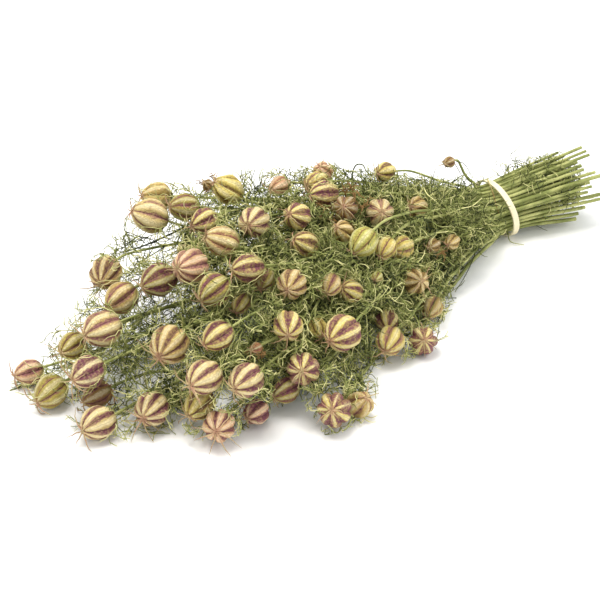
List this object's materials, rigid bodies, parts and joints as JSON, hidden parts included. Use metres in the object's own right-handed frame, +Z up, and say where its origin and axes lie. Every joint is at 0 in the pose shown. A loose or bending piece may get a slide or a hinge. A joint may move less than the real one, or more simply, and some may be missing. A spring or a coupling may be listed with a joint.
{
  "type": "dried nigella seed pod bunch",
  "caption": "Dried nigella seed pods on leafy stems, tied with a rubber band into a bunch that lies on its side for display.",
  "frame": {"origin": "on the ground, under the middle of the lying bunch", "axes": "+X along the bunch from the seed heads towards the cut ends, +Z up"},
  "size_m": [0.5294, 0.2772, 0.1077],
  "materials": {
    "dried_plant": "matt dried stems and threads in olive green, papery pods in cream and purple",
    "rubber_band": "matt cream natural rubber"
  },
  "bodies": {
    "root": {"leafy_stem_01": "dried_plant", "leafy_stem_02": "dried_plant", "leafy_stem_03": "dried_plant", "leafy_stem_04": "dried_plant", "leafy_stem_05": "dried_plant", "leafy_stem_06": "dried_plant", "leafy_stem_07": "dried_plant", "leafy_stem_08": "dried_plant", "leafy_stem_09": "dried_plant", "leafy_stem_10": "dried_plant", "leafy_stem_11": "dried_plant", "leafy_stem_12": "dried_plant", "leafy_stem_13": "dried_plant", "leafy_stem_14": "dried_plant", "leafy_stem_15": "dried_plant", "leafy_stem_16": "dried_plant", "leafy_stem_17": "dried_plant", "leafy_stem_18": "dried_plant", "leafy_stem_19": "dried_plant", "leafy_stem_20": "dried_plant", "leafy_stem_21": "dried_plant", "leafy_stem_22": "dried_plant", "leafy_stem_23": "dried_plant", "leafy_stem_24": "dried_plant", "leafy_stem_25": "dried_plant", "leafy_stem_26": "dried_plant", "leafy_stem_27": "dried_plant", "leafy_stem_28": "dried_plant", "leafy_stem_29": "dried_plant", "leafy_stem_30": "dried_plant", "leafy_stem_31": "dried_plant", "leafy_stem_32": "dried_plant", "leafy_stem_33": "dried_plant", "leafy_stem_34": "dried_plant", "leafy_stem_35": "dried_plant", "leafy_stem_36": "dried_plant", "leafy_stem_37": "dried_plant", "leafy_stem_38": "dried_plant", "leafy_stem_39": "dried_plant", "leafy_stem_40": "dried_plant", "leafy_stem_41": "dried_plant", "leafy_stem_42": "dried_plant", "leafy_stem_43": "dried_plant", "leafy_stem_44": "dried_plant", "leafy_stem_45": "dried_plant", "leafy_stem_46": "dried_plant", "leafy_stem_47": "dried_plant", "leafy_stem_48": "dried_plant", "leafy_stem_49": "dried_plant", "leafy_stem_50": "dried_plant", "leafy_stem_51": "dried_plant", "leafy_stem_52": "dried_plant", "leafy_stem_53": "dried_plant", "leafy_stem_54": "dried_plant", "leafy_stem_55": "dried_plant", "leafy_stem_56": "dried_plant", "leafy_stem_57": "dried_plant", "rubber_band": "rubber_band"}
  },
  "joints": []
}
